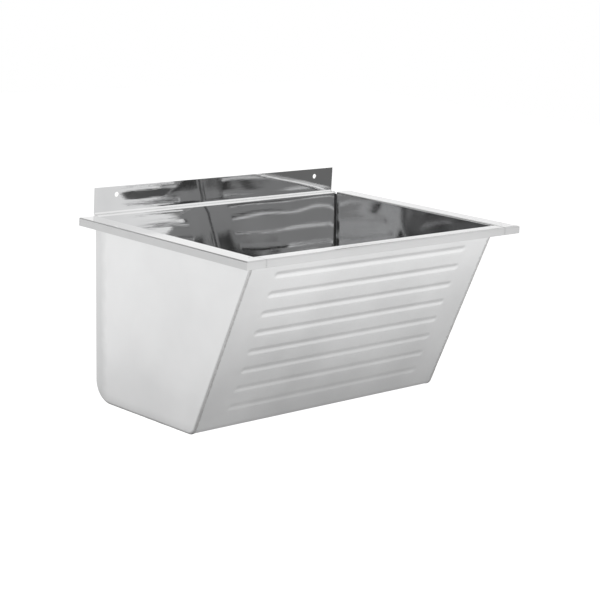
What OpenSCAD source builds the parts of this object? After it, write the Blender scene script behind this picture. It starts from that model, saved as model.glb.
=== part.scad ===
// Wall-hung stainless steel service sink: one bent wrapper sheet between two end panels,
// a ribbed sloping front, a splashback with two screw holes, and a strainer waste with a
// lift-out plug. Millimetres. X runs along the wall, +Y points to the wall, +Z is up.
// The origin is midway between the two wall-screw holes, on the back of the splashback.

/* [Overall size] */
// Width across the rim
rim_w = 600; // [500:10:900]
// Depth from the wall to the front of the rim
overall_d = 400; // [360:5:520]
// Height from the underside of the bowl to the top of the rim
bowl_h = 295; // [280:5:400]
// Outside of the bowl to the side of the rim
side_flange_w = 33; // [20:1:60]
// Thickness of the stainless sheet
sheet_t = 1; // [0.8:0.1:1.5]

/* [Bowl] */
// Front of the rim to the inner face of the front sheet, at rim level
front_setback = 23.6; // [20:0.2:40]
// Slope of the front sheet from the vertical, in degrees
front_slope = 21.7; // [12:0.1:26]
// How far the back wall leans forward over its height
back_lean = 15; // [0:1:25]
// Inner radius of the bend between the back wall and the bottom
rear_bend_r = 35; // [20:1:60]
// Inner radius of the bend between the bottom and the front sheet
front_bend_r = 13; // [8:1:30]
// Inner radius of the bent edges of the end panels
corner_r = 3; // [2:0.5:6]

/* [Rim] */
// Depth of the rim's down-turned skirt
skirt_h = 12.5; // [8:0.5:25]
// Outer radius of the folds round the opening
fold_r = 3; // [2:0.5:5]
// Outer radius of the fold between the rim's flange and its skirt
edge_r = 2.5; // [2:0.5:5]

/* [Splashback] */
// Height of the splashback above the rim
splash_h = 42; // [30:1:150]
// Inner radius of the bend at the foot of the splashback
splash_bend_r = 3; // [2:0.5:5]
// Front face of the splashback to the inner face of the back wall, at rim level
ledge_d = 8; // [8:0.5:20]
// Radius of the wall-screw holes
screw_hole_r = 4; // [2.5:0.25:6]
// Centre of the wall-screw holes to the end of the splashback
screw_margin = 44; // [20:1:80]
// Centre of the wall-screw holes below the top of the splashback
screw_drop = 13; // [8:1:25]

/* [Washboard ribs] */
// Number of pressed ribs in the front sheet
rib_count = 8; // [3:1:8]
// Rim level to the middle of the first rib, down the slope
rib_first = 38; // [25:1:50]
// Distance between ribs, down the slope
rib_pitch = 34; // [18:1:34]
// End of a rib to the side of the front sheet
rib_margin = 51; // [20:1:120]
// Width of a rib's groove
rib_w = 15; // [8:0.5:18]
// Depth of a rib's groove
rib_depth = 1.5; // [1:0.25:4]

/* [Welds] */
// Half width of a weld bead
bead_half_w = 1.1; // [0.8:0.1:2]
// Height of a weld bead above the sheet
bead_h = 0.6; // [0.4:0.1:1]

/* [Waste fitting] */
// Centre of the waste in front of the wall
waste_from_wall = 115; // [100:1:130]
// Radius of the hole in the bottom of the bowl
waste_hole_r = 30; // [28.5:0.5:32]
// Strainer dish's flange beyond the hole in the bottom
flange_lap = 9; // [6:0.5:14]
// Gap between the strainer dish and the hole in the bottom
dish_gap = 3; // [1.5:0.25:4]
// Thickness of the strainer dish
dish_t = 1; // [0.8:0.1:1.2]
// Depth of the strainer dish below its flange
dish_depth = 19; // [18:0.5:24]
// Number of drain holes in the strainer dish
drain_count = 8; // [6:1:8]
// Radius of a drain hole
drain_r = 3.6; // [2.5:0.1:4]
// Circle that the drain holes lie on to the outside of the strainer dish
drain_margin = 10; // [8:0.5:12]
// Thickness of the seal above the bottom sheet
upper_seal_t = 1.5; // [1:0.25:3]
// Thickness of the seal below the bottom sheet
lower_seal_t = 3; // [2:0.5:4]
// Wall of the moulded waste body
body_wall = 2.5; // [2:0.25:3]
// Depth of the waste body's cup below its flange
cup_depth = 30; // [28:1:36]
// Outer radius of the outlet tail
tail_r = 20; // [18:0.5:22]
// Length of the outlet tail below the cup
tail_len = 12; // [10:1:30]
// Nominal radius of the clamping screw
screw_r = 3; // [2.5:0.5:3]

/* [Plug] */
// Plug's rubber seal beyond the outside of the strainer dish
plug_seal_lap = 4; // [2:0.5:6]
// Thickness of the plug's rubber seal
plug_seal_t = 2.5; // [2:0.25:4]
// Edge of the plug's steel cap to the edge of its seal
plug_cap_margin = 3; // [1:0.5:6]
// Thickness of the plug's steel cap
plug_cap_t = 1; // [0.8:0.1:1.2]
// Depth of the moulded guide below the plug's seal
guide_depth = 9; // [7:0.5:10]
// Thickness of the guide's fins
guide_fin_t = 2; // [1.5:0.25:3]
// Radius of the plug's pull knob
knob_r = 8; // [6:0.5:10]
// Height of the plug's pull knob above the cap
knob_h = 16; // [12:1:22]

/* [Fits] */
// Radial clearance between a screw or stem and its hole
slip = 0.05; // [0.03:0.01:0.08]
// Gap that a lift-out piece keeps from its seat
seat_gap = 0.3; // [0.25:0.05:0.5]
// Gap between the plug's guide fins and the dish
guide_gap = 0.5; // [0.3:0.1:1]

/* [Hidden] */
$fn = 96;

eps = 0.01;
// Bends of more than this radius are drawn with finer chords. The chords are in degrees.
wide_bend_r = 10;
wide_bend_chord = 4;
tight_bend_chord = 12;
// Chords in a panel's bent edge, and in each half of a weld bead
edge_steps = 7;
bead_steps = 3;
// How far the short fold ends lie inside the sheet that they close
fold_inset = 0.03;
bowl_w = rim_w - 2 * side_flange_w;
wrap_w = bowl_w - 2 * (corner_r + sheet_t);
inner_w = bowl_w - 2 * sheet_t;
rib_len = wrap_w - 2 * rib_margin;
screw_spacing = wrap_w - 2 * screw_margin;
splash_y = overall_d - sheet_t;
back_y = splash_y - ledge_d;
floor_z = sheet_t - bowl_h;
lean_angle = atan(back_lean / (bowl_h - sheet_t));
rail_end_y = back_y + sheet_t / cos(lean_angle) - corner_r - sheet_t;
front_fold_flat = front_setback - fold_r * tan((90 - front_slope) / 2);
screw_above_rim = splash_h - screw_drop;
stub = 8;

// Inner face of the back wall and of the front sheet at height z, moved inwards by d
function back_face(z, d) = back_y + z * tan(lean_angle) - d / cos(lean_angle);
function front_face(z, d) = front_setback - z * tan(front_slope) + d / cos(front_slope);

// Corners of the bowl's section as [y, z], moved inwards by d, from the top of the back
// wall down and round to the top of the front sheet
function bowl_corners(top, d) = [
  [back_face(top, d), top],
  [back_face(floor_z + d, d), floor_z + d],
  [front_face(floor_z + d, d), floor_z + d],
  [front_face(top, d), top]
];

// The wrapper sheet's face on the bowl side, from the splashback's top to the rim's skirt
wrapper_path = [
  [splash_y, splash_h], [splash_y, 0], [back_y, 0],
  bowl_corners(0, 0)[1], bowl_corners(0, 0)[2],
  [front_setback, 0], [0, 0], [0, -skirt_h]
];
wrapper_radii = [0, splash_bend_r, fold_r, rear_bend_r, front_bend_r, fold_r, edge_r, 0];

// Directions, turns and tangent lengths along a path of corners p with bend radii r
function heading(p, i) = atan2(p[i + 1].y - p[i].y, p[i + 1].x - p[i].x);
function wrapped(a) = a > 180 ? a - 360 : a < -180 ? a + 360 : a;
function turn(p, i) = wrapped(heading(p, i) - heading(p, i - 1));
function side(p, i) = turn(p, i) > 0 ? 1 : -1;
function forward(a) = [cos(a), sin(a)];
function left(a) = [-sin(a), cos(a)];
function bend_centre(p, r, i) =
  p[i] - r[i] * tan(abs(turn(p, i)) / 2) * forward(heading(p, i - 1))
  + side(p, i) * r[i] * left(heading(p, i - 1));
function bend_steps(p, r, i) =
  ceil(abs(turn(p, i)) / (r[i] > wide_bend_r ? wide_bend_chord : tight_bend_chord));

// Stations along the path as [point, unit vector to the left], with each bend in chords
function stations(p, r) = [
  [p[0], left(heading(p, 0))],
  for (i = [1 : len(p) - 2]) let (n = bend_steps(p, r, i)) for (k = [0 : n])
    let (l = left(heading(p, i - 1) + turn(p, i) * k / n))
      [bend_centre(p, r, i) - side(p, i) * r[i] * l, l],
  [p[len(p) - 1], left(heading(p, len(p) - 2))]
];

// Line at distance d to the left of the stations
function beside(st, d) = [for (s = st) s[0] + d * s[1]];
function reversed(v) = [for (i = [len(v) - 1 : -1 : 0]) v[i]];

// Section of a bent sheet whose face follows path p, with its thickness on the left. It may
// be thinner than t by inset on both faces.
module sheet_section(p, r, t, inset = 0) {
  st = stations(p, r);
  polygon(concat(beside(st, inset), reversed(beside(st, t - inset))));
}

// Carries a [y, z] section along X from x0 to x1
module along_x(x0, x1) {
  rotate([90, 0, 90]) translate([0, 0, x0]) linear_extrude(x1 - x0) children();
}

// Carries an [x, z] section along Y from y0 to y1
module along_y(y0, y1) {
  translate([0, y1, 0]) rotate([90, 0, 0]) linear_extrude(y1 - y0) children();
}

// Point of station s moved d to its left, and then along the path to height z
function at_height(s, d, z) =
  s[0] + d * s[1] + (z - s[0].y - d * s[1].y) / -s[1].x * [s[1].y, -s[1].x];

// Quads as triangle pairs, so that every face is flat
function quad(a, b, c, d) = [[a, b, c], [a, c, d]];

// Carries the closed section, a list of [outward, x] points, along path p in the plane of Y
// and Z. Both ends are cut level with the path's own ends.
module swept(section, p, r) {
  st = stations(p, r);
  m = len(st) - 1;
  n = len(section);
  polyhedron(
    points = [for (k = [0 : m]) for (q = section)
      let (c = k == 0 || k == m ? at_height(st[k], q.x, st[k][0].y) : st[k][0] + q.x * st[k][1])
        [q.y, c.x, c.y]],
    faces = concat(
      [for (k = [0 : m - 1]) for (j = [0 : n - 1])
        each quad(k * n + j, (k + 1) * n + j, (k + 1) * n + (j + 1) % n, k * n + (j + 1) % n)],
      [[for (j = [0 : n - 1]) j], [for (j = [n - 1 : -1 : 0]) m * n + j]]
    )
  );
}

// Puts a sink drawn from the front of the rim at rim level onto its wall-screw origin
module on_wall() {
  translate([0, -overall_d, -screw_above_rim]) children();
}

// ---- Sheet metal ----

rib_groove_r = (pow(rib_w / 2, 2) + pow(rib_depth, 2)) / (2 * rib_depth);

// All the ribs as round-ended bars of radius bar_r, lying outside the front sheet
module rib_bars(bar_r) {
  reach = rib_len / 2 - rib_w / 2;
  for (i = [0 : rib_count - 1])
    translate([0, front_setback, 0]) rotate([front_slope, 0, 0])
      translate([0, -(sheet_t + rib_groove_r - rib_depth), -(rib_first + i * rib_pitch)]) {
        rotate([0, 90, 0]) cylinder(r = bar_r, h = 2 * reach, center = true);
        for (s = [-1, 1]) translate([s * reach, 0, 0]) sphere(r = bar_r);
      }
}

// Space on the bowl side of the middle of the front sheet's thickness
module behind_front_sheet() {
  translate([0, front_setback, 0]) rotate([front_slope, 0, 0])
    translate([-rib_len, -sheet_t / 2, -2 * bowl_h]) cube([2 * rib_len, bowl_h, 2 * bowl_h]);
}

module wall_screw_holes() {
  for (s = [-1, 1])
    translate([s * screw_spacing / 2, overall_d, screw_above_rim])
      rotate([90, 0, 0]) cylinder(r = screw_hole_r, h = 6 * sheet_t, center = true);
}

// One sheet bent into the splashback, back wall, bottom, ribbed front and front rim
module wrapper_sheet() {
  color("gainsboro") on_wall() difference() {
    union() {
      along_x(-wrap_w / 2, wrap_w / 2) sheet_section(wrapper_path, wrapper_radii, sheet_t);
      intersection() {
        rib_bars(rib_groove_r + sheet_t);
        behind_front_sheet();
      }
    }
    rib_bars(rib_groove_r);
    wall_screw_holes();
    translate([0, overall_d - waste_from_wall, floor_z - sheet_t / 2])
      cylinder(r = waste_hole_r, h = 4 * sheet_t, center = true);
  }
}

// Path of the bowl below the folds round its opening
bend_path = bowl_corners(-fold_r, 0);
bend_radii = [0, rear_bend_r, front_bend_r, 0];

// Face and back of the left panel's bent edge as [outward, x] points, from the wrapper's
// edge round to the flat
function edge_arc(radius) = [for (j = [0 : edge_steps])
  [-corner_r, -wrap_w / 2] + radius * forward(-90 * j / edge_steps)];

// Flat of the left panel with its bent edge round the back, bottom and front, cut level at
// the folds of the opening
module left_dished_plate() {
  st = stations(bend_path, bend_radii);
  m = len(st) - 1;
  n = edge_steps + 1;
  ring = concat(edge_arc(corner_r), edge_arc(corner_r + sheet_t));
  function face(k, j) = 2 * n * k + j;
  function back(k, j) = 2 * n * k + n + j;
  polyhedron(
    points = [for (k = [0 : m]) for (q = ring)
      let (c = k == 0 || k == m ? at_height(st[k], q.x, st[k][0].y) : st[k][0] + q.x * st[k][1])
        [q.y, c.x, c.y]],
    faces = concat(
      [for (k = [0 : m - 1]) for (j = [0 : n - 2])
        each quad(face(k, j), face(k + 1, j), face(k + 1, j + 1), face(k, j + 1))],
      [for (k = [0 : m - 1]) for (j = [0 : n - 2])
        each quad(back(k, j), back(k, j + 1), back(k + 1, j + 1), back(k + 1, j))],
      [for (k = [0 : m - 1])
        each quad(face(k, 0), back(k, 0), back(k + 1, 0), face(k + 1, 0))],
      [for (j = [0 : n - 2]) each quad(face(0, j), face(0, j + 1), back(0, j + 1), back(0, j))],
      [for (j = [0 : n - 2]) each quad(face(m, j + 1), face(m, j), back(m, j), back(m, j + 1))],
      quad(face(0, n - 1), face(m, n - 1), back(m, n - 1), back(0, n - 1)),
      [[for (k = [0 : m]) face(k, n - 1)], [for (k = [m : -1 : 0]) back(k, n - 1)]]
    )
  );
}

// Plan area of the left front corner that belongs to the rim's front return
module left_corner_area(low, high) {
  translate([0, 0, low]) linear_extrude(high - low) polygon([
    [-rim_w / 2 - front_fold_flat, -front_fold_flat],
    [-rim_w / 2 + front_fold_flat, front_fold_flat],
    [-wrap_w / 2 + fold_r, front_fold_flat],
    [-wrap_w / 2 + fold_r, -front_fold_flat]
  ]);
}

module left_side_rail() {
  difference() {
    along_y(0, rail_end_y) sheet_section(
      [[-inner_w / 2, -fold_r - sheet_t], [-inner_w / 2, 0], [-rim_w / 2, 0], [-rim_w / 2, -skirt_h]],
      [0, fold_r, edge_r, 0], sheet_t
    );
    left_corner_area(-2 * skirt_h, sheet_t);
  }
}

module left_front_return() {
  intersection() {
    along_x(-rim_w / 2, -wrap_w / 2) sheet_section(
      [[front_fold_flat, 0], [0, 0], [0, -skirt_h]], [0, edge_r, 0], sheet_t
    );
    left_corner_area(-2 * skirt_h, sheet_t);
  }
}

// Short ends of the wrapper's two folds, carried on over the bent edge of the panel
module left_fold_ends() {
  along_x(-(bowl_w - sheet_t) / 2, -wrap_w / 2) {
    sheet_section(
      [[front_face(-stub, 0), -stub], [front_setback, 0], [front_fold_flat - sheet_t, 0]],
      [0, fold_r, 0], sheet_t, fold_inset
    );
    sheet_section(
      [[back_y + fold_r + sheet_t, 0], [back_y, 0], [back_face(-stub, 0), -stub]],
      [0, fold_r, 0], sheet_t, fold_inset
    );
  }
}

module left_panel_sheet() {
  left_dished_plate();
  left_fold_ends();
  left_side_rail();
  left_front_return();
}

module left_end_panel() {
  color("gainsboro") on_wall() left_panel_sheet();
}

module right_end_panel() {
  color("gainsboro") on_wall() mirror([1, 0, 0]) left_panel_sheet();
}

// ---- Welds ----

bead_r = (pow(bead_half_w, 2) + pow(bead_h, 2)) / (2 * bead_h);

// Outline of a bead that stands on the sheet's face, as [height, sideways] points
bead_half_angle = asin(bead_half_w / bead_r);
bead_outline = [for (k = [-bead_steps : bead_steps])
  [bead_h - bead_r, 0] + bead_r * forward(bead_half_angle * k / bead_steps)];

module left_seam_bead() {
  swept(
    [for (q = bead_outline) [sheet_t + q.x, q.y - wrap_w / 2]],
    bend_path, bend_radii
  );
}

module left_seam_weld() {
  color("darkgray") on_wall() left_seam_bead();
}

module right_seam_weld() {
  color("darkgray") on_wall() mirror([1, 0, 0]) left_seam_bead();
}

// Beads under the flange and behind the skirt, where the rim's front meets the end panels
module rim_joint_welds() {
  flange_run = front_fold_flat - edge_r - bead_h;
  skirt_run = skirt_h - edge_r - bead_h;
  color("darkgray") on_wall() for (s = [-1, 1]) translate([s * wrap_w / 2, 0, 0]) {
    translate([0, front_fold_flat, -sheet_t])
      rotate([90, 90, 0]) linear_extrude(flange_run) polygon(bead_outline);
    translate([0, sheet_t, -skirt_h])
      rotate([0, 0, 90]) linear_extrude(skirt_run) polygon(bead_outline);
  }
}

// ---- Waste fitting ----

flange_r = waste_hole_r + flange_lap;
dish_r = waste_hole_r - dish_gap;
drain_ring_r = dish_r - drain_margin;
flange_z = floor_z + upper_seal_t;
dish_floor_z = flange_z - dish_depth;
body_top_z = floor_z - sheet_t - lower_seal_t;
cup_bottom_z = body_top_z - cup_depth;
cup_r = dish_r + 2 * slip + body_wall;
insert_wall = 1.5;
insert_r = screw_r + insert_wall;
insert_len = 10;
boss_wall = 3;
boss_r = insert_r + boss_wall;
head_r = 2 * screw_r;
head_h = 1.1 * screw_r;
slot_w = 0.4 * screw_r;
spoke_w = 2.5;
body_lip = 3;
seal_inset = 1;

// Moves a fitting drawn on the Z axis to the centre of the waste
module at_waste() {
  on_wall() translate([0, overall_d - waste_from_wall, 0]) children();
}

module ring(r_in, r_out, z0, z1) {
  translate([0, 0, z0]) difference() {
    cylinder(r = r_out, h = z1 - z0);
    translate([0, 0, -eps]) cylinder(r = r_in, h = z1 - z0 + 2 * eps);
  }
}

// Pressed steel dish with drain holes round the hole for the clamping screw
module strainer_dish() {
  color("silver") at_waste() difference() {
    union() {
      ring(dish_r - dish_t, flange_r, flange_z, flange_z + dish_t);
      ring(dish_r - dish_t, dish_r, dish_floor_z - dish_t, flange_z);
      translate([0, 0, dish_floor_z - dish_t]) cylinder(r = dish_r, h = dish_t);
    }
    translate([0, 0, dish_floor_z - 2 * dish_t]) {
      cylinder(r = screw_r + slip, h = 3 * dish_t);
      for (i = [0 : drain_count - 1])
        rotate([0, 0, 360 * i / drain_count])
          translate([drain_ring_r, 0, 0]) cylinder(r = drain_r, h = 3 * dish_t);
    }
  }
}

module upper_waste_seal() {
  color("dimgray") at_waste() ring(waste_hole_r, flange_r - seal_inset, floor_z, flange_z);
}

module lower_waste_seal() {
  color("dimgray") at_waste()
    ring(waste_hole_r, flange_r - seal_inset, body_top_z, floor_z - sheet_t);
}

// Moulded cup with its outlet tail, and a boss on four spokes for the clamping screw
module waste_body() {
  boss_top_z = dish_floor_z - dish_t;
  color("whitesmoke") at_waste() {
    ring(cup_r - body_wall, flange_r, body_top_z - body_lip, body_top_z);
    ring(cup_r - body_wall, cup_r, cup_bottom_z, body_top_z - body_lip);
    ring(tail_r - body_wall, cup_r, cup_bottom_z - body_wall, cup_bottom_z);
    ring(tail_r - body_wall, tail_r, cup_bottom_z - body_wall - tail_len, cup_bottom_z - body_wall);
    ring(insert_r + slip, boss_r, boss_top_z - insert_len, boss_top_z);
    for (i = [0 : 3]) rotate([0, 0, 45 + 90 * i])
      translate([boss_r - sheet_t, -spoke_w / 2, boss_top_z - insert_len])
        cube([cup_r - boss_r - body_wall / 2, spoke_w, insert_len]);
  }
}

module brass_insert() {
  color("goldenrod") at_waste() ring(
    screw_r + slip, insert_r, dish_floor_z - dish_t - insert_len, dish_floor_z - dish_t
  );
}

// Pan-head screw that pulls the waste body up against the dish
module clamp_screw() {
  shank = dish_t + insert_len;
  color("silver") at_waste() translate([0, 0, dish_floor_z]) difference() {
    union() {
      cylinder(r = head_r, h = head_h);
      translate([0, 0, -shank]) cylinder(r = screw_r, h = shank + eps);
    }
    translate([-head_r - eps, -slot_w / 2, head_h / 2])
      cube([2 * (head_r + eps), slot_w, head_h]);
  }
}

// ---- Lift-out plug ----

plug_seal_r = dish_r + plug_seal_lap;
plug_cap_r = plug_seal_r - plug_cap_margin;
seal_z = flange_z + dish_t + seat_gap;
cap_z = seal_z + plug_seal_t;
guide_z = seal_z - guide_depth;
guide_r = dish_r - dish_t - guide_gap;
stem_r = screw_r;
guide_hub_wall = 3;
guide_hub_r = stem_r + guide_hub_wall;
nut_h = 3;

module plug_cap() {
  color("silver") at_waste() ring(stem_r + slip, plug_cap_r, cap_z, cap_z + plug_cap_t);
}

module plug_seal() {
  color("black") at_waste() ring(stem_r + slip, plug_seal_r, seal_z, cap_z);
}

// Moulded hub with four fins that centre the plug in the dish
module plug_guide() {
  color("dimgray") at_waste() difference() {
    union() {
      translate([0, 0, guide_z]) cylinder(r = guide_hub_r, h = guide_depth);
      for (a = [0, 90]) rotate([0, 0, a])
        translate([-guide_r, -guide_fin_t / 2, guide_z])
          cube([2 * guide_r, guide_fin_t, guide_depth]);
    }
    translate([0, 0, guide_z - eps]) cylinder(r = stem_r + slip, h = guide_depth + 2 * eps);
  }
}

// Turned pull knob with the stem that holds the plug together
module plug_knob() {
  knob_z = cap_z + plug_cap_t;
  color("silver") at_waste() union() {
    translate([0, 0, knob_z]) rotate_extrude() polygon([
      [0, 0], [knob_r * 0.7, 0], [knob_r * 0.45, knob_h * 0.35],
      [knob_r * 0.55, knob_h * 0.6], [knob_r, knob_h * 0.75],
      [knob_r, knob_h * 0.92], [knob_r * 0.85, knob_h], [0, knob_h]
    ]);
    translate([0, 0, guide_z - nut_h]) cylinder(r = stem_r, h = knob_z - guide_z + nut_h + eps);
  }
}

module plug_nut() {
  color("silver") at_waste() translate([0, 0, guide_z - nut_h]) difference() {
    cylinder(r = 2 * stem_r, h = nut_h, $fn = 6);
    translate([0, 0, -eps]) cylinder(r = stem_r + slip, h = nut_h + 2 * eps);
  }
}

wrapper_sheet();
left_end_panel();
right_end_panel();
left_seam_weld();
right_seam_weld();
rim_joint_welds();
strainer_dish();
upper_waste_seal();
lower_waste_seal();
waste_body();
brass_insert();
clamp_screw();
plug_cap();
plug_seal();
plug_guide();
plug_knob();
plug_nut();
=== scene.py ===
"""Looks of the wall-hung service sink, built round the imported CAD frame."""
import math
import bmesh
import bpy
from mathutils import Matrix, Vector, noise


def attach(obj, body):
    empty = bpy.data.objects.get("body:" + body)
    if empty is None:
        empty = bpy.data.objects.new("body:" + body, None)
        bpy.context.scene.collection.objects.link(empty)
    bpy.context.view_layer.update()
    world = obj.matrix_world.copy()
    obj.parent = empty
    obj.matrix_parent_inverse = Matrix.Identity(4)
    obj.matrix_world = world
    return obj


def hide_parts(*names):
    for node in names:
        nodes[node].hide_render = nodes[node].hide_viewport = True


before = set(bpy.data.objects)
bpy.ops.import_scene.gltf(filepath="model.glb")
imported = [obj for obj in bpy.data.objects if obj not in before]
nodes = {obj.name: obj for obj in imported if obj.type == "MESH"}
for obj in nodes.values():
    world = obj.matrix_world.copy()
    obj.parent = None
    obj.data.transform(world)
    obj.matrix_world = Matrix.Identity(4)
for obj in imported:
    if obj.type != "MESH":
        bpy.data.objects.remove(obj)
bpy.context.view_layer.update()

# ---- Sizes of the sheet metal in millimetres. X runs along the wall. Y is measured back
# ---- from the front of the rim, and Z up from the top of the rim.
MM = 0.001
RIM_W = 600.0
DEPTH = 400.0
BOWL_H = 295.0
BOWL_W = 534.0
SHEET = 1.0
FRONT_SETBACK = 23.6
FRONT_SLOPE = math.radians(21.7)
BACK_LEAN = 15.0
REAR_BEND_R = 35.0
FRONT_BEND_R = 13.0
CORNER_R = 3.0
SKIRT_H = 12.5
FOLD_R = 3.0
EDGE_R = 2.5
SPLASH_H = 42.0
SPLASH_BEND_R = 3.0
LEDGE_D = 8.0
SCREW_HOLE_R = 4.0
SCREW_SPACING = 438.0
SCREW_ABOVE_RIM = 29.0
RIB_COUNT = 8
RIB_FIRST = 38.0
RIB_PITCH = 34.0
RIB_LEN = 424.0
RIB_W = 15.0
RIB_DEPTH = 0.65
RIB_FADE = 0.06
WASTE_FROM_WALL = 115.0
WASTE_HOLE_R = 30.0

WRAP_W = BOWL_W - 2 * (CORNER_R + SHEET)
INNER_W = BOWL_W - 2 * SHEET
FLOOR_Z = SHEET - BOWL_H
SPLASH_Y = DEPTH - SHEET
BACK_Y = SPLASH_Y - LEDGE_D
LEAN = math.atan(BACK_LEAN / (BOWL_H - SHEET))
RAIL_END_Y = BACK_Y + SHEET / math.cos(LEAN) - CORNER_R - SHEET
FRONT_FLAT = FRONT_SETBACK - FOLD_R * math.tan((math.pi / 2 - FRONT_SLOPE) / 2)


def place(x, y, z):
    """A point of the sink in metres, in the frame whose origin is between the wall screws."""
    return Vector((x, y - DEPTH, z - SCREW_ABOVE_RIM)) * MM


def back_face(z, inwards=0.0):
    return BACK_Y + z * math.tan(LEAN) - inwards / math.cos(LEAN)


def front_face(z, inwards=0.0):
    return FRONT_SETBACK - z * math.tan(FRONT_SLOPE) + inwards / math.cos(FRONT_SLOPE)


# ---- Bent lines and thick sheets

BEND_STEP = math.radians(7)


def bent_line(corners, radii, spacings):
    """Stations (point, left normal, segment) along a line of corners with rounded bends.
    The segment is a whole number on a straight run and a half on a bend."""
    pts = [Vector(c) for c in corners]
    ways = [(b - a).normalized() for a, b in zip(pts, pts[1:])]
    turns = [0.0]
    for a, b in zip(ways, ways[1:]):
        turns.append(math.atan2(a.x * b.y - a.y * b.x, a.dot(b)))
    turns.append(0.0)
    trims = [r * math.tan(abs(t) / 2) for r, t in zip(radii, turns)]
    out = []
    for i, way in enumerate(ways):
        start, end = pts[i] + way * trims[i], pts[i + 1] - way * trims[i + 1]
        left = Vector((-way.y, way.x))
        steps = max(1, math.ceil((end - start).length / spacings[i]))
        for k in range(steps + 1):
            out.append((start.lerp(end, k / steps), left, i))
        if i + 1 < len(ways):
            turn, r = turns[i + 1], radii[i + 1]
            side = 1 if turn > 0 else -1
            centre = end + side * r * left
            steps = max(2, math.ceil(abs(turn) / BEND_STEP))
            for k in range(1, steps):
                n = left.copy()
                n.rotate(Matrix.Rotation(turn * k / steps, 2))
                out.append((centre - side * r * n, n, i + 0.5))
    return out


def ramp(low, high, x):
    t = min(1.0, max(0.0, (x - low) / (high - low)))
    return t * t * (3 - 2 * t)


def thick_sheet(bm, face, back, face_mat, back_mat, edge_mat):
    """Adds a closed sheet to bm between two grids of points. Materials are functions of the
    row and column of a quad."""
    rows, cols = len(face), len(face[0])
    fv = [[bm.verts.new(p) for p in row] for row in face]
    bv = [[bm.verts.new(p) for p in row] for row in back]
    made = []

    def quad(verts, mat):
        f = bm.faces.new(verts)
        f.material_index = mat
        made.append(f)

    for i in range(rows - 1):
        for j in range(cols - 1):
            quad([fv[i][j], fv[i + 1][j], fv[i + 1][j + 1], fv[i][j + 1]], face_mat(i, j))
            quad([bv[i][j], bv[i][j + 1], bv[i + 1][j + 1], bv[i + 1][j]], back_mat(i, j))
    for i in range(rows - 1):
        quad([fv[i][0], bv[i][0], bv[i + 1][0], fv[i + 1][0]], edge_mat)
        quad([fv[i][-1], fv[i + 1][-1], bv[i + 1][-1], bv[i][-1]], edge_mat)
    for j in range(cols - 1):
        quad([fv[0][j], fv[0][j + 1], bv[0][j + 1], bv[0][j]], edge_mat)
        quad([fv[-1][j], bv[-1][j], bv[-1][j + 1], fv[-1][j + 1]], edge_mat)
    bmesh.ops.recalc_face_normals(bm, faces=made)


def piece(name, bm, materials, body, replaced=(), smooth=40.0):
    """Turns bm into an object that rides on a body."""
    mesh = bpy.data.meshes.new(name)
    bm.to_mesh(mesh)
    bm.free()
    obj = bpy.data.objects.new(name, mesh)
    bpy.context.scene.collection.objects.link(obj)
    for m in materials:
        mesh.materials.append(m)
    mesh.shade_smooth()
    mesh.set_sharp_from_angle(angle=math.radians(smooth))
    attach(obj, body)
    if replaced:
        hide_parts(*replaced)
    return obj


def drill(obj, holes):
    """Cuts round holes (centre in metres, direction, radius in metres, depth) out of obj."""
    bm = bmesh.new()
    for centre, way, radius, depth in holes:
        turn = Vector(way).to_track_quat("Z", "Y").to_matrix().to_4x4()
        bmesh.ops.create_cone(
            bm, cap_ends=True, segments=64, radius1=radius, radius2=radius, depth=depth,
            matrix=Matrix.Translation(centre) @ turn,
        )
    mesh = bpy.data.meshes.new("drill")
    bm.to_mesh(mesh)
    bm.free()
    tool = bpy.data.objects.new("drill", mesh)
    bpy.context.scene.collection.objects.link(tool)
    cut = obj.modifiers.new("holes", "BOOLEAN")
    cut.operation = "DIFFERENCE"
    cut.solver = "EXACT"
    cut.object = tool
    graph = bpy.context.evaluated_depsgraph_get()
    done = bpy.data.meshes.new_from_object(obj.evaluated_get(graph))
    obj.modifiers.clear()
    old = obj.data
    obj.data = done
    done.name = old.name + "_drilled"
    bpy.data.meshes.remove(old)
    bpy.data.objects.remove(tool)
    bpy.data.meshes.remove(mesh)


# ---- Materials

def material(name, color, roughness, metallic=0.0):
    """A material with its shader and the point on the surface, in metres."""
    mat = bpy.data.materials.new(name)
    mat.use_nodes = True
    tree = mat.node_tree
    shader = tree.nodes["Principled BSDF"]
    shader.inputs["Base Color"].default_value = (*color, 1)
    shader.inputs["Roughness"].default_value = roughness
    shader.inputs["Metallic"].default_value = metallic
    where = tree.nodes.new("ShaderNodeTexCoord").outputs["Object"]
    return mat, tree, shader, where


def stretched(tree, where, scale):
    node = tree.nodes.new("ShaderNodeMapping")
    node.inputs["Scale"].default_value = scale
    tree.links.new(where, node.inputs["Vector"])
    return node.outputs["Vector"]


def cloud(tree, where, scale, detail=2.0, rough=0.5):
    node = tree.nodes.new("ShaderNodeTexNoise")
    node.inputs["Scale"].default_value = scale
    node.inputs["Detail"].default_value = detail
    node.inputs["Roughness"].default_value = rough
    tree.links.new(where, node.inputs["Vector"])
    return node.outputs["Fac"]


def remap(tree, value, in_low, in_high, low, high):
    node = tree.nodes.new("ShaderNodeMapRange")
    limits = {"From Min": in_low, "From Max": in_high, "To Min": low, "To Max": high}
    for key, number in limits.items():
        node.inputs[key].default_value = number
    tree.links.new(value, node.inputs["Value"])
    return node.outputs["Result"]


def maths(tree, kind, a, b):
    node = tree.nodes.new("ShaderNodeMath")
    node.operation = kind
    for i, v in enumerate((a, b)):
        if isinstance(v, (int, float)):
            node.inputs[i].default_value = v
        else:
            tree.links.new(v, node.inputs[i])
    return node.outputs[0]


def coordinates(tree, point):
    """The X, Y and Z outputs of a point."""
    split = tree.nodes.new("ShaderNodeSeparateXYZ")
    tree.links.new(point, split.inputs[0])
    return split.outputs


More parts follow.
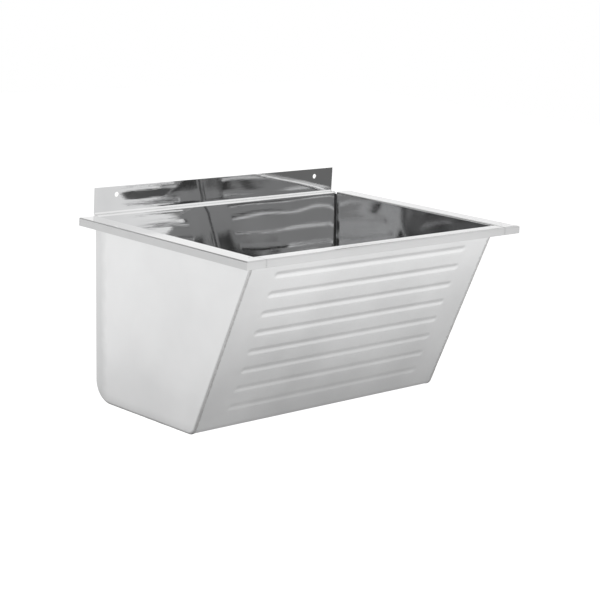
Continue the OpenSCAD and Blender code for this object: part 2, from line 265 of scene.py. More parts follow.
def full_range(tree, value, low=0.3, high=0.7):
    """A cloud's value, which keeps near the middle, stretched to 0 to 1."""
    return remap(tree, value, low, high, 0, 1)


def scaled(color, share):
    return tuple(share * c for c in color)


def tint(tree, factor, low, high):
    node = tree.nodes.new("ShaderNodeValToRGB")
    node.color_ramp.elements[0].color = (*low, 1)
    node.color_ramp.elements[1].color = (*high, 1)
    tree.links.new(factor, node.inputs["Fac"])
    return node.outputs["Color"]


def mixed(tree, factor, a, b):
    node = tree.nodes.new("ShaderNodeMix")
    node.data_type = "RGBA"
    tree.links.new(factor, node.inputs["Factor"])
    for key, v in (("A", a), ("B", b)):
        socket = next(s for s in node.inputs if s.name == key and s.type == "RGBA")
        if isinstance(v, tuple):
            socket.default_value = (*v, 1)
        else:
            tree.links.new(v, socket)
    return next(s for s in node.outputs if s.type == "RGBA")


def bumped(tree, shader, height, strength, distance, below=None):
    node = tree.nodes.new("ShaderNodeBump")
    node.inputs["Strength"].default_value = strength
    node.inputs["Distance"].default_value = distance
    tree.links.new(height, node.inputs["Height"])
    if below is not None:
        tree.links.new(below, node.inputs["Normal"])
    tree.links.new(node.outputs["Normal"], shader.inputs["Normal"])
    return node.outputs["Normal"]


# The ground and painted-shaded metal by a weld strays between these shares of its reach
SEAM_STRAY = (0.4, 1.5)
# The shade along a panel's back edge: its full and its whole width, and how far it strays
BACK_SHADE_FULL, BACK_SHADE_END, BACK_SHADE_STRAY = 0.014, 0.03, 0.003


def near_seam(tree, where, reach, right_reach):
    """1 on the two weld planes and 0 beyond reach metres from the left one, or right_reach
    metres from the right one, with a cloudy border."""
    across = coordinates(tree, where)["X"]
    off = maths(tree, "ABSOLUTE", across, 0)
    off = maths(tree, "SUBTRACT", off, WRAP_W / 2 * MM)
    off = maths(tree, "ABSOLUTE", off, 0)
    ragged = remap(tree, cloud(tree, where, 260, 3), 0.3, 0.7, *SEAM_STRAY)
    off = maths(tree, "DIVIDE", off, ragged)
    span = remap(tree, across, -0.01, 0.01, reach, right_reach)
    off = remap(tree, maths(tree, "DIVIDE", off, span), 0, 1, 0, 1)
    return maths(tree, "SUBTRACT", 1, off)


def near_back_edge(tree, where):
    """1 along the back edge of an end panel and 0 from a few centimetres in front of it."""
    point = coordinates(tree, where)
    lean = maths(tree, "MULTIPLY", point["Z"], math.tan(LEAN))
    off = maths(tree, "SUBTRACT", lean, point["Y"])
    start = (DEPTH - BACK_Y - SCREW_ABOVE_RIM * math.tan(LEAN)) * MM
    off = maths(tree, "SUBTRACT", off, start)
    clouds = cloud(tree, where, 35, 2)
    stray = remap(tree, clouds, 0.3, 0.7, -BACK_SHADE_STRAY, BACK_SHADE_STRAY)
    off = maths(tree, "ADD", off, stray)
    return remap(tree, off, BACK_SHADE_FULL, BACK_SHADE_END, 1, 0)


def sheet_steel(
    name, color, rough, spread, grain, grain_strength, ripple,
    seam=0.0, right_seam=None, weld_stain_and_shade=1.0, back_shade=1.0,
):
    """Stainless sheet: cloudy handling marks, rolling grain, faint scratches and, near the
    welds, the duller metal that grinding leaves. Seam and right_seam are how far that
    reaches, in metres. The share of the color near a weld, stain, is part grinding mark
    and part painted shade of the seam; the share along the back edge, back_shade, is
    painted shade."""
    mat, tree, shader, where = material(name, color, rough, 1.0)
    clouds = cloud(tree, where, 7, 3)
    smears = cloud(tree, where, 42, 4, 0.6)
    streaks = cloud(tree, stretched(tree, where, grain), 1, 2)
    scratch = cloud(tree, stretched(tree, where, (35, 240, 900)), 1, 2)
    marks = remap(tree, scratch, 0.7, 0.76, 0, 0.05)
    dull = remap(tree, clouds, 0.3, 0.7, rough - spread, rough + spread)
    dull = maths(tree, "ADD", dull, remap(tree, smears, 0.35, 0.75, -0.3 * spread, 0.5 * spread))
    dull = maths(tree, "ADD", dull, remap(tree, streaks, 0.3, 0.7, -0.2 * spread, 0.3 * spread))
    dull = maths(tree, "ADD", dull, marks)
    paint = tint(tree, full_range(tree, clouds, 0.35, 0.65), scaled(color, 0.93), color)
    if seam:
        worked_and_shaded = near_seam(tree, where, seam, right_seam or seam)
        dull = maths(tree, "ADD", dull, remap(tree, worked_and_shaded, 0, 1, 0, 0.12))
        # Painted shade by the welds: the color darkens there, part grinding mark and part shade of
        # the seam
        paint = mixed(tree, full_range(tree, worked_and_shaded, 0.2, 0.6), paint, scaled(color, weld_stain_and_shade))
    # Painted shade along the back edge of an end panel
    if back_shade < 1:
        paint = mixed(tree, near_back_edge(tree, where), paint, scaled(color, back_shade))
    tree.links.new(dull, shader.inputs["Roughness"])
    tree.links.new(paint, shader.inputs["Base Color"])
    soft = bumped(tree, shader, cloud(tree, where, 11, 1), ripple, 0.004)
    bumped(tree, shader, streaks, grain_strength, 0.0004, soft)
    return mat


inside_steel = sheet_steel(
    "steel_inside", (0.84, 0.842, 0.845), 0.02, 0.006, (18, 900, 900), 0.02, 0.03)
# End panels' inner faces: the inside steel painted darker, as painted shade
panel_inside_shaded_steel = sheet_steel(
    "steel_panel_inside_painted_shade", (0.62, 0.622, 0.625), 0.025, 0.008, (18, 900, 900), 0.02, 0.03)
# Near-black painted shade for the crease where a panel's bent edge meets the wrapper
crevice_shade_steel = sheet_steel(
    "steel_crevice_painted_shade", (0.12, 0.12, 0.122), 0.3, 0.05, (30, 30, 700), 0.1, 0.05)
# Outer faces, with painted shade by the welds and along the end panels' back edge
outside_steel = sheet_steel(
    "steel_outside", (0.83, 0.832, 0.834), 0.38, 0.035, (18, 900, 900), 0.06, 0.08, 0.0025,
    weld_stain_and_shade=0.6, back_shade=0.84)
front_steel = sheet_steel(
    "steel_front", (0.83, 0.832, 0.834), 0.38, 0.035, (18, 900, 900), 0.06, 0.08, 0.003,
    right_seam=0.007, weld_stain_and_shade=0.72)
rim_steel = sheet_steel(
    "steel_rim", (0.83, 0.831, 0.832), 0.12, 0.03, (30, 700, 700), 0.03, 0.0, 0.004, weld_stain_and_shade=0.85)
# Skirts and the folds into them: the rim's steel painted darker, as painted shade on the downturned
# faces
skirt_shaded_steel = sheet_steel(
    "steel_skirt_painted_shade", (0.66, 0.661, 0.662), 0.42, 0.05, (30, 700, 700), 0.12, 0.05, 0.003, weld_stain_and_shade=0.88)
# Outer arc of a panel's bent edge by the wrapper: rougher ground metal painted darker, part ground
# finish and part painted shade of the seam
worked_and_shaded_steel = sheet_steel(
    "steel_worked_painted_shade", (0.63, 0.63, 0.632), 0.42, 0.08, (240, 240, 240), 0.2, 0.05)
# End panels' side skirts: the rim's steel painted darker, as painted shade
side_skirt_shaded_steel = sheet_steel(
    "steel_side_skirt_painted_shade", (0.62, 0.621, 0.622), 0.42, 0.06, (700, 30, 700), 0.12, 0.05)


def weld_metal_and_painted_shade():
    mat, tree, shader, where = material("weld_metal_and_painted_shade", (0.5, 0.5, 0.5), 0.45, 1.0)
    clouds = cloud(tree, where, 320, 4, 0.65)
    # Darker than the sheet: part heat tint of the weld and part painted shade of the seam
    paint = tint(tree, full_range(tree, clouds), (0.4, 0.395, 0.39), (0.7, 0.7, 0.7))
    tree.links.new(paint, shader.inputs["Base Color"])
    tree.links.new(remap(tree, clouds, 0.3, 0.7, 0.32, 0.6), shader.inputs["Roughness"])
    bumped(tree, shader, cloud(tree, where, 900, 3), 0.35, 0.0005)
    return mat


def polished_metal(name, color, rough, turned):
    """Turned or pressed metal. Turned metal has fine rings round the waste's axis."""
    mat, tree, shader, where = material(name, color, rough, 1.0)
    clouds = cloud(tree, where, 90, 3)
    dull = remap(tree, clouds, 0.3, 0.7, rough * 0.7, rough * 1.5)
    tree.links.new(dull, shader.inputs["Roughness"])
    paint = tint(tree, full_range(tree, clouds), scaled(color, 0.9), color)
    tree.links.new(paint, shader.inputs["Base Color"])
    if turned:
        shift = tree.nodes.new("ShaderNodeMapping")
        shift.inputs["Location"].default_value = (0, WASTE_FROM_WALL * MM, 0)
        tree.links.new(where, shift.inputs["Vector"])
        rings = tree.nodes.new("ShaderNodeTexWave")
        rings.wave_type = "RINGS"
        rings.rings_direction = "Z"
        rings.inputs["Scale"].default_value = 700
        rings.inputs["Distortion"].default_value = 1.5
        rings.inputs["Detail"].default_value = 2
        tree.links.new(shift.outputs["Vector"], rings.inputs["Vector"])
        bumped(tree, shader, rings.outputs["Fac"], 0.12, 0.0002)
    else:
        bumped(tree, shader, cloud(tree, where, 500, 3), 0.1, 0.0003)
    return mat


def moulded(name, color, rough, speck, grain):
    """Moulded plastic or rubber with a faint mottle, wear and surface texture."""
    mat, tree, shader, where = material(name, color, rough)
    mottle = cloud(tree, where, 60, 4, 0.6)
    low, high = scaled(color, 1 - speck), scaled(color, 1 + speck)
    tree.links.new(tint(tree, full_range(tree, mottle), low, high), shader.inputs["Base Color"])
    dull = remap(tree, mottle, 0.3, 0.7, rough - 0.07, rough + 0.08)
    tree.links.new(dull, shader.inputs["Roughness"])
    bumped(tree, shader, cloud(tree, where, grain, 2), 0.25, 0.0003)
    return mat


weld = weld_metal_and_painted_shade()
turned_steel = polished_metal("turned_steel", (0.8, 0.802, 0.81), 0.16, True)
pressed_steel = polished_metal("pressed_steel", (0.78, 0.782, 0.79), 0.2, True)
zinc_steel = polished_metal("screw_steel", (0.72, 0.72, 0.71), 0.28, False)
brass = polished_metal("machined_brass", (0.78, 0.56, 0.24), 0.24, True)
rubber = moulded("seal_rubber_worn", (0.035, 0.035, 0.037), 0.55, 0.35, 900)
white_plastic = moulded("waste_plastic_moulded", (0.8, 0.8, 0.77), 0.42, 0.05, 700)
dark_plastic = moulded("guide_plastic_moulded", (0.075, 0.075, 0.08), 0.4, 0.25, 900)

for node_name, look in {
    "strainer_dish": pressed_steel,
    "upper_waste_seal": rubber,
    "lower_waste_seal": rubber,
    "waste_body": white_plastic,
    "brass_insert": brass,
    "clamp_screw": zinc_steel,
    "plug_cap": turned_steel,
    "plug_seal": rubber,
    "plug_guide": dark_plastic,
    "plug_knob": turned_steel,
    "plug_nut": zinc_steel,
    "rim_joint_welds": weld,
}.items():
    slots = nodes[node_name].data.materials
    slots.clear()
    slots.append(look)

# ---- Wrapper sheet

WRAPPER = [
    (SPLASH_Y, SPLASH_H), (SPLASH_Y, 0), (BACK_Y, 0),
    (back_face(FLOOR_Z), FLOOR_Z), (front_face(FLOOR_Z), FLOOR_Z),
    (FRONT_SETBACK, 0), (0, 0), (0, -SKIRT_H),
]
WRAPPER_R = [0, SPLASH_BEND_R, FOLD_R, REAR_BEND_R, FRONT_BEND_R, FOLD_R, EDGE_R, 0]
WRAPPER_STEPS = [7, 2.5, 12, 14, 1.0, 6, 4]
SPLASH_RUN, BACK_RUN, BOTTOM_RUN, FRONT_RUN = 0, 2, 3, 4
# Waviness of the runs: its size and height in millimetres, and its seed
FRONT_WAVE = (95, 0.35, 11)
BACK_WAVE = (110, 0.6, 5)
SPLASH_WAVE = (60, 0.15, 3)
BOTTOM_WAVE = (120, 0.4, 8)
# The splashback's waviness stays behind its flat face
SPLASH_SET_BACK = 0.12
# Columns lie close together from here outwards, where the ribs end
FINE_FROM_X, FINE_STEP = 195, 1.5
DRILL_DEPTH = 0.02
SHEET_MATERIALS = [inside_steel, front_steel, rim_steel, skirt_shaded_steel]
PANEL_MATERIALS = [
    panel_inside_shaded_steel, outside_steel, rim_steel, side_skirt_shaded_steel, crevice_shade_steel, worked_and_shaded_steel,
    skirt_shaded_steel,
]
INSIDE, OUTSIDE, RIM, SKIRT, CREVICE_SHADE, WORKED_SHADED, RETURN = 0, 1, 2, 3, 4, 5, 6


def rib_depth(x, down):
    """Depth of the pressed ribs at a point of the front sheet. They have soft edges and get
    fainter downwards."""
    reach = (RIB_LEN - RIB_W) / 2
    i = min(RIB_COUNT - 1, max(0, round((down - RIB_FIRST) / RIB_PITCH)))
    off = math.hypot(max(0.0, abs(x) - reach), down - RIB_FIRST - i * RIB_PITCH)
    return RIB_DEPTH * (1 - RIB_FADE * i) * (1 + math.cos(math.pi * min(1.0, 2 * off / RIB_W))) / 2


def wave(x, y, z, size, height, seed):
    """Gentle waviness of sheet metal, in millimetres."""
    return height * noise.noise(Vector((x + seed, y, z)) / size)


def build_wrapper():
    line = bent_line(WRAPPER, WRAPPER_R, WRAPPER_STEPS)
    half = WRAP_W / 2
    end_zone = [FINE_FROM_X + FINE_STEP * k for k in range(16)]
    outer = end_zone + [226, 234, 243, 252, 258, 261, 262.4, half]
    xs = sorted([-x for x in outer] + [13.0 * k for k in range(-14, 15)] + outer)
    looks = {FRONT_RUN + 0.5: RIM, FRONT_RUN + 1: RIM, FRONT_RUN + 1.5: SKIRT, FRONT_RUN + 2: SKIRT}
    looks.update({0.5: RIM, 1: RIM, 1.5: RIM})
    face, back = [], []
    corner = Vector(WRAPPER[FRONT_RUN + 1])
    for p, left, run in line:
        down = (corner - p).length
        front_row, back_row = [], []
        for x in xs:
            push = 0.0
            edge = ramp(0, 45, half - abs(x))
            if run == FRONT_RUN:
                push = rib_depth(x, down)
                edge *= ramp(5, 40, down) * ramp(5, 40, 300 - down)
                push += edge * wave(x, 0, down, *FRONT_WAVE)
            elif run == BACK_RUN:
                edge *= ramp(4, 45, -p.y) * ramp(40, 85, p.y - FLOOR_Z)
                push = edge * wave(x, 200, p.y, *BACK_WAVE)
            elif run == SPLASH_RUN:
                edge = ramp(0, 20, half - abs(x)) * ramp(3, 24, p.y)
                push = edge * (SPLASH_SET_BACK + wave(x, 400, p.y, *SPLASH_WAVE))
            elif run == BOTTOM_RUN:
                edge *= ramp(5, 50, p.x - front_face(FLOOR_Z))
                edge *= ramp(5, 50, back_face(FLOOR_Z) - p.x)
                edge *= ramp(45, 90, math.hypot(x, p.x - DEPTH + WASTE_FROM_WALL))
                push = edge * wave(x, p.x, 0, *BOTTOM_WAVE)
            a = p - push * left
            b = a + SHEET * left
            front_row.append(place(x, a.x, a.y))
            back_row.append(place(x, b.x, b.y))
        face.append(front_row)
        back.append(back_row)
    runs = [run for _, _, run in line]
    bm = bmesh.new()
    thick_sheet(
        bm, face, back,
        lambda i, j: looks.get(runs[i], INSIDE),
        lambda i, j: OUTSIDE, RIM,
    )
    obj = piece("wrapper_formed", bm, SHEET_MATERIALS, "sink", ["wrapper_sheet"])
    holes = []
    for s in (-1, 1):
        centre = place(s * SCREW_SPACING / 2, DEPTH, SCREW_ABOVE_RIM)
        holes.append((centre, (0, 1, 0), SCREW_HOLE_R * MM, DRILL_DEPTH))
    centre = place(0, DEPTH - WASTE_FROM_WALL, FLOOR_Z)
    holes.append((centre, (0, 0, 1), WASTE_HOLE_R * MM, DRILL_DEPTH))
    drill(obj, holes)


build_wrapper()

# ---- End panels

BEND_LINE = [
    (back_face(-FOLD_R - SHEET), -FOLD_R - SHEET),
    (back_face(FLOOR_Z), FLOOR_Z), (front_face(FLOOR_Z), FLOOR_Z),
    (front_face(-FOLD_R - SHEET), -FOLD_R - SHEET),
]
BEND_LINE_R = [0, REAR_BEND_R, FRONT_BEND_R, 0]
EDGE_STEPS = 7
WORKED_SHADED_STEPS = 4
RINGS = 15
TOP_STEPS = 26
WEB_WAVE = (130, 0.9, 21)
# How far the strips of the rim and the folds reach past the wrapper's edge, the gap that
# keeps the two strips of a corner apart, and the gap between a fold and the panel's flat
LAP = 0.05
CORNER_GAP = 0.02
FOLD_GAP = 0.3
FOLD_LEG = 8.0
WEB_CENTRE = Vector((215.0, -130.0))


def level_end(p, left, out, z):
    """The point of a station moved out to its left, slid along the line to height z."""
    q = p + out * left
    along = Vector((left.y, -left.x))
    return q + along * ((z - q.y) / along.y)


def web_push(s, y, z):
    """Waviness of an end panel's flat, which dies away towards its edges."""
    edge = ramp(10, 60, z - FLOOR_Z) * ramp(8, 50, -z)
    edge *= ramp(8, 60, y - front_face(z)) * ramp(8, 60, back_face(z) - y)
    return edge * wave(s * 300, y, z, *WEB_WAVE)


def add_web(bm, s):
    """The flat of an end panel with its bent edge round the back, bottom and front."""
    line = bent_line(BEND_LINE, BEND_LINE_R, [14, 14, 14])
    top_z = line[0][0].y
    face, back = [], []
    for k, (p, left, _) in enumerate(line):
        end = k in (0, len(line) - 1)
        face_row, back_row = [], []
        for j in range(EDGE_STEPS + 1):
            a = math.pi / 2 * j / EDGE_STEPS
            for row, r in ((face_row, CORNER_R), (back_row, CORNER_R + SHEET)):
                out, x = r * math.cos(a) - CORNER_R, WRAP_W / 2 + r * math.sin(a)
                q = level_end(p, left, out, top_z) if end else p + out * left
                row.append((s * x, q.x, q.y))
        face.append(face_row)
        back.append(back_row)
    # The flat: rings that shrink from the bent edge to a centre, closed along the top
    outline = [(row[-1][1], row[-1][2]) for row in face]
    a, b = outline[-1], outline[0]
    outline += [
        (a[0] + (b[0] - a[0]) * k / TOP_STEPS, top_z) for k in range(1, TOP_STEPS)
    ]
    loops = {}
    for key, rows, x in (("face", face, INNER_W / 2), ("back", back, BOWL_W / 2)):
        bent = [[bm.verts.new(place(*q)) for q in row] for row in rows]
        made = []
        edge_loop = [row[-1] for row in bent]
        edge_loop += [bm.verts.new(place(s * x, y, z)) for y, z in outline[len(face):]]
        ring_verts = [edge_loop]
        for ring in range(1, RINGS):
            share = 1 - ring / RINGS
            row = []
            for y, z in outline:
                q = WEB_CENTRE.lerp(Vector((y, z)), share)
                row.append(bm.verts.new(place(s * (x + web_push(s, q.x, q.y)), q.x, q.y)))
            ring_verts.append(row)
        q = WEB_CENTRE
        hub = bm.verts.new(place(s * (x + web_push(s, q.x, q.y)), q.x, q.y))
        mat = INSIDE if key == "face" else OUTSIDE
        n = len(outline)
        for r0, r1 in zip(ring_verts, ring_verts[1:]):
            for k in range(n):
                made.append(bm.faces.new([r0[k], r0[(k + 1) % n], r1[(k + 1) % n], r1[k]]))
        last = ring_verts[-1]
        made += [bm.faces.new([last[k], last[(k + 1) % n], hub]) for k in range(n)]
        for b0, b1 in zip(bent, bent[1:]):
            for j in range(EDGE_STEPS):
                made.append(bm.faces.new([b0[j], b1[j], b1[j + 1], b0[j + 1]]))
        for f in made:
            f.material_index = mat
        for k, f in enumerate(made[-EDGE_STEPS * (len(bent) - 1):]):
            # Painted shade: the inner arc of the bent edge, where it meets the wrapper, is near
            # black
            if key == "face":
                f.material_index = CREVICE_SHADE
            # Painted shade, with ground metal: the outer arc next to the wrapper is darker
            elif k % EDGE_STEPS < WORKED_SHADED_STEPS:
                f.material_index = WORKED_SHADED
        top_loop = edge_loop[len(bent) - 1:] + [edge_loop[0]]
        loops[key] = ([row[0] for row in bent], bent[0][:-1], bent[-1][:-1], top_loop)
    for a, b in zip(*loops.values()):
        for k in range(len(a) - 1):
            f = bm.faces.new([a[k], a[k + 1], b[k + 1], b[k]])
            f.material_index = RIM
    for end_row, tip in ((1, -1), (2, 0)):
        a0, a1 = loops["face"][end_row][-1], loops["face"][3][tip]
        b0, b1 = loops["back"][end_row][-1], loops["back"][3][tip]
        f = bm.faces.new([a0, a1, b1, b0])
        f.material_index = RIM
    bmesh.ops.recalc_face_normals(bm, faces=bm.faces[:])


def add_bar(bm, line, start, end, steps, put, mats):
    """A bent strip carried from start to end, both functions of a point of its section."""
    face, back = [], []
    for p, left, _ in line:
        q = p + SHEET * left
        face.append([put(p, start(p) + (end(p) - start(p)) * k / steps) for k in range(steps + 1)])
        back.append([put(q, start(q) + (end(q) - start(q)) * k / steps) for k in range(steps + 1)])
    thick_sheet(bm, face, back, lambda i, j: mats(line[i]), lambda i, j: OUTSIDE, RIM)


def build_panel(s, side):
    bm = bmesh.new()
    add_web(bm, s)
    inner, outer = -INNER_W / 2, -RIM_W / 2
    rail = bent_line(
        [(inner, -FOLD_R - SHEET), (inner, 0), (outer, 0), (outer, -SKIRT_H)],
        [0, FOLD_R, EDGE_R, 0], [3, 6, 4],
    )
    add_bar(
        bm, rail,
        lambda p: min(max(p.x + RIM_W / 2, 0.0), FRONT_FLAT), lambda p: RAIL_END_Y, 30,
        lambda p, y: place(-s * p.x, y, p.y),
        lambda st: {0: INSIDE, 1.5: RETURN, 2: SKIRT}.get(st[2], RIM),
    )
    corner = bent_line([(FRONT_FLAT, 0), (0, 0), (0, -SKIRT_H)], [0, EDGE_R, 0], [3, 4])
    add_bar(
        bm, corner,
        lambda p: RIM_W / 2 - min(max(p.x, 0.0), FRONT_FLAT) - CORNER_GAP,
        lambda p: WRAP_W / 2 + LAP, 8,
        lambda p, x: place(s * x, p.x, p.y), lambda st: RETURN if st[2] > 0 else RIM,
    )
    for section in (
        [(front_face(-FOLD_LEG), -FOLD_LEG), (FRONT_SETBACK, 0), (FRONT_FLAT, 0)],
        [(BACK_Y + FOLD_R + SHEET, 0), (BACK_Y, 0), (back_face(-FOLD_LEG), -FOLD_LEG)],
    ):
        add_bar(
            bm, bent_line(section, [0, FOLD_R, 0], [4, 4]),
            lambda p: INNER_W / 2 + FOLD_GAP, lambda p: WRAP_W / 2 + LAP, 2,
            lambda p, x: place(s * x, p.x, p.y), lambda st: RIM,
        )
    # The mitred end of the rail leaves edges of no length
    bmesh.ops.dissolve_degenerate(bm, dist=1e-6, edges=bm.edges[:])
    piece(
        f"{side}_end_panel_formed", bm, PANEL_MATERIALS,
        "sink", [f"{side}_end_panel"],
    )


build_panel(-1, "left")
build_panel(1, "right")

# ---- Seam welds: hand-run beads, ground down here and there

BEAD_HALF_W = 1.5
BEAD_H = 0.6
BEAD_SUNK = 0.1
BEAD_PITCH = 3.1
BEAD_COLS = 8


def build_seam(s, side):
    line = bent_line(BEND_LINE, BEND_LINE_R, [1.6, 1.6, 1.6])
    bm = bmesh.new()
    rings = []
    run = 0.0
    previous = line[0][0]
    for p, left, _ in line:
        run += (p - previous).length
        previous = p
        bumpy = noise.noise(Vector((run / 9, s * 7, 0)))
        ripple = 0.06 * math.sin(run * 2 * math.pi / BEAD_PITCH)
        wide = BEAD_HALF_W * (1 + 0.28 * bumpy + 0.5 * ripple)
        high = BEAD_H * (1 + 0.35 * noise.noise(Vector((run / 13, s * 3, 5))) + ripple)
        shift = 0.35 * noise.noise(Vector((run / 30, s, 9)))
        ring = []
        for j in range(BEAD_COLS + 1):
            a = math.pi * j / BEAD_COLS
            out = SHEET - BEAD_SUNK + (high + BEAD_SUNK) * math.sin(a)
            q = p + out * left
            x = s * (WRAP_W / 2 + shift) + wide * math.cos(a)
            ring.append(bm.verts.new(place(x, q.x, q.y)))
        rings.append(ring)
    for a, b in zip(rings, rings[1:]):
        n = len(a)
        for j in range(n):
            bm.faces.new([a[j], a[(j + 1) % n], b[(j + 1) % n], b[j]])
    bm.faces.new(rings[0])
    bm.faces.new(rings[-1])
    bmesh.ops.recalc_face_normals(bm, faces=bm.faces[:])
    piece(f"{side}_seam_bead", bm, [weld], "sink", [f"{side}_seam_weld"], 60)


build_seam(-1, "left")
build_seam(1, "right")

# ---- Studio

def square(half, z):
    return [(-half, -half, z), (half, -half, z), (half, half, z), (-half, half, z)]


def staged(name, corners, mat):
    mesh = bpy.data.meshes.new(name)
    mesh.from_pydata([Vector(c) for c in corners], [], [(0, 1, 2, 3)])
    mesh.materials.append(mat)
    obj = bpy.data.objects.new(name, mesh)
    bpy.context.scene.collection.objects.link(obj)
    return obj


def seen_directly(tree):
    """1 for the rays that picture a surface, and 0 for the ones that light another."""
    rays = tree.nodes.new("ShaderNodeLightPath")
    seen = maths(tree, "MAXIMUM", rays.outputs["Is Camera Ray"], rays.outputs["Is Glossy Ray"])
    return maths(tree, "MAXIMUM", seen, rays.outputs["Is Transmission Ray"])


def floor_look():
    """Pale floor that the camera and the metal see as white, with the sink's shadow kept."""
    mat = bpy.data.materials.new("studio_floor")
    mat.use_nodes = True
    tree = mat.node_tree
    shader = tree.nodes["Principled BSDF"]
    shader.inputs["Base Color"].default_value = (0.8, 0.8, 0.8, 1)
    shader.inputs["Roughness"].default_value = 0.9
    shader.inputs["Emission Color"].default_value = (1, 1, 1, 1)
    glow = remap(tree, seen_directly(tree), 0, 1, 0, FLOOR_GLOW)
    tree.links.new(glow, shader.inputs["Emission Strength"])
    return mat


def card_look(name, level, soft):
    """A plain grey that fades out over the outer share, soft, of the card."""
    mat = bpy.data.materials.new(name)
    mat.use_nodes = True
    tree = mat.node_tree
    tree.nodes.clear()
    point = coordinates(tree, tree.nodes.new("ShaderNodeTexCoord").outputs["Object"])
    across = maths(tree, "ABSOLUTE", point["X"], 0)
    upward = maths(tree, "ABSOLUTE", point["Y"], 0)
    reach = maths(tree, "MAXIMUM", across, upward)
    solid = remap(tree, reach, 1 - soft, 1, 1, 0)
    glow = tree.nodes.new("ShaderNodeEmission")
    glow.inputs["Color"].default_value = (level, level, level, 1)
    clear = tree.nodes.new("ShaderNodeBsdfTransparent")
    mix = tree.nodes.new("ShaderNodeMixShader")
    tree.links.new(solid, mix.inputs["Fac"])
    tree.links.new(clear.outputs[0], mix.inputs[1])
    tree.links.new(glow.outputs[0], mix.inputs[2])
    out = tree.nodes.new("ShaderNodeOutputMaterial")
    tree.links.new(mix.outputs[0], out.inputs["Surface"])
    return mat


FLOOR_Z_M = -0.9
FLOOR_HALF = 8
FLOOR_GLOW = 0.62
# What the cards and the lamps are turned to
AIM = Vector((0, -0.2, -0.15))
staged("floor", square(FLOOR_HALF, FLOOR_Z_M), floor_look())


def reflected(name, level, soft, place_and_size):
    """A grey card, two units wide and high before its placing, that shows only in
    reflections."""
    obj = staged(name, square(1, 0), card_look(name, level, soft))
    obj.matrix_world = place_and_size
    obj.visible_camera = False
    obj.visible_diffuse = False
    obj.visible_shadow = False


def card(name, stand, across, upward, level, soft=0.05):
    """A card that faces the sink. Stand is a point of its plane, and across and upward are
    its ends from there, in metres."""
    stand = Vector(stand)
    back = (stand - AIM).normalized()
    side = Vector((0, 0, 1)).cross(back).normalized()
    up = back.cross(side)
    centre = stand + side * sum(across) / 2 + up * sum(upward) / 2
    axes = (side * (across[1] - across[0]) / 2, up * (upward[1] - upward[0]) / 2, back)
    turned = Matrix(axes).transposed().to_4x4()
    reflected(name, level, soft, Matrix.Translation(centre) @ turned)


def flat_card(name, centre, half_x, half_y, level, soft):
    """A level card."""
    sized = Matrix.Diagonal((half_x, half_y, 1, 1))
    reflected(name, level, soft, Matrix.Translation(centre) @ sized)


BACK_LEFT = (-1.3, 1.1, 0.65)
BACK_RIGHT = (1.3, 1.2, 0.65)
card("card_back_left", BACK_LEFT, (-0.7, 0.8), (0.0, 0.55), 0.42)
card("flag_back_left", (-1.28, 1.08, 0.64), (-0.05, 0.03), (0.02, 0.22), 0.08, 0.4)
card("flag_splash_left", (-1.27, 1.07, 0.63), (-0.17, -0.07), (0.19, 0.27), 0.08, 0.2)
card("flag_splash_middle", (-1.27, 1.07, 0.63), (0.05, 0.11), (0.1, 0.15), 0.1, 0.3)
card("card_back_right", BACK_RIGHT, (-0.9, -0.165), (-0.12, 0.17), 0.1, 0.03)
card("card_below_right", (1.31, 1.21, 0.65), (-0.9, -0.155), (-0.22, 0.08), 0.1, 0.03)
card("card_far_right", (1.29, 1.19, 0.65), (-1.4, -0.29), (-0.12, 0.42), 0.3, 0.1)
# Painted shade: a grey card low at the back left that stands for shade on the floor there, seen
# only in reflections
card("card_painted_floor_shade_low_left", (-1.35, 1.25, -0.8), (-1.0, 1.0), (-0.3, 0.3), 0.8, 0.9)
card("card_splash_right", (0.62, -0.4, -0.05), (-0.16, 0.1), (-0.1, 0.1), 0.15, 0.1)
card("card_camera_side", (-2.6, -2.7, 0.2), (-1.7, 1.7), (-1.4, 1.9), 0.07, 0.3)
flat_card("card_ceiling", (-1.2, 0, 1.5), 1.6, 2.2, 0.16, 0.3)
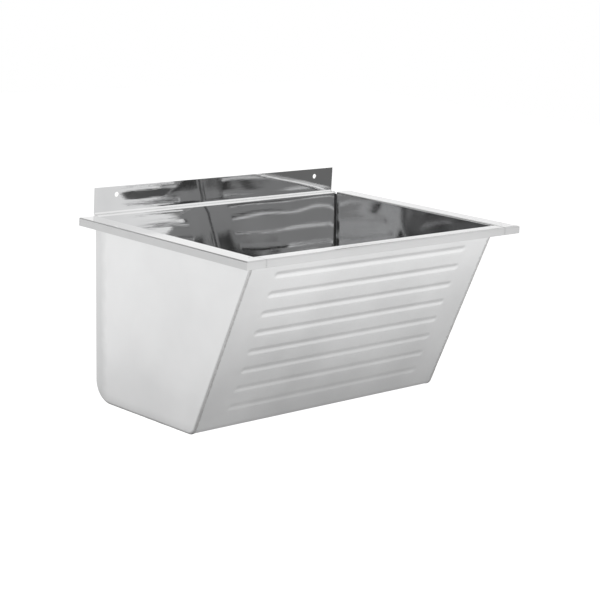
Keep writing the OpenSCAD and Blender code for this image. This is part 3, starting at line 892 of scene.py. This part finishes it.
# Painted shadow: a grey card under the sink that stands for its shadow below it, seen only in
# reflections
flat_card("card_painted_shadow_under", (0.25, 0.05, -0.6), 1.5, 0.89, 0.4, 0.43)

WORLD_LIGHT = 0.55
world = bpy.data.worlds.new("studio")
bpy.context.scene.world = world
world.use_nodes = True
tree = world.node_tree
background = tree.nodes["Background"]
background.inputs["Color"].default_value = (1, 1, 1, 1)
# White where it is seen, and weaker as a light, so that the shading stays visible
strength = remap(tree, seen_directly(tree), 0, 1, WORLD_LIGHT, 1.0)
tree.links.new(strength, background.inputs["Strength"])


def lamp(name, location, size, power):
    data = bpy.data.lights.new(name, "AREA")
    data.shape = "DISK"
    data.size = size
    data.energy = power
    obj = bpy.data.objects.new(name, data)
    obj.location = location
    obj.rotation_mode = "QUATERNION"
    obj.rotation_quaternion = (AIM - Vector(location)).to_track_quat("-Z", "Y")
    obj.visible_glossy = False
    bpy.context.scene.collection.objects.link(obj)


lamp("key_lamp", (-1.2, -1.4, 2.2), 1.6, 26)
lamp("fill_lamp", (1.6, -1.2, 1.4), 1.8, 12)

# ---- Camera where the photo was taken: its place, turn and lens are fitted to points
# ---- read off the photo

CAMERA_PLACE = Vector((-1.93354, -2.16657, 0.45491))
AZIMUTH, ELEVATION, ROLL = -0.77798, 0.21856, 0.05408
FOCAL, SENSOR_W = 105.41, 36
camera = bpy.data.objects.new("camera", bpy.data.cameras.new("camera"))
bpy.context.scene.collection.objects.link(camera)
camera.data.lens = FOCAL
camera.data.sensor_width = SENSOR_W
back = Vector((
    math.sin(AZIMUTH) * math.cos(ELEVATION),
    -math.cos(AZIMUTH) * math.cos(ELEVATION),
    math.sin(ELEVATION),
))
right = Vector((math.cos(AZIMUTH), math.sin(AZIMUTH), 0))
up = back.cross(right)
side_axis = math.cos(ROLL) * right + math.sin(ROLL) * up
up_axis = -math.sin(ROLL) * right + math.cos(ROLL) * up
turn = Matrix((side_axis, up_axis, back)).transposed().to_4x4()
camera.matrix_world = Matrix.Translation(CAMERA_PLACE) @ turn
bpy.context.scene.camera = camera
bpy.context.scene.view_settings.view_transform = "Standard"
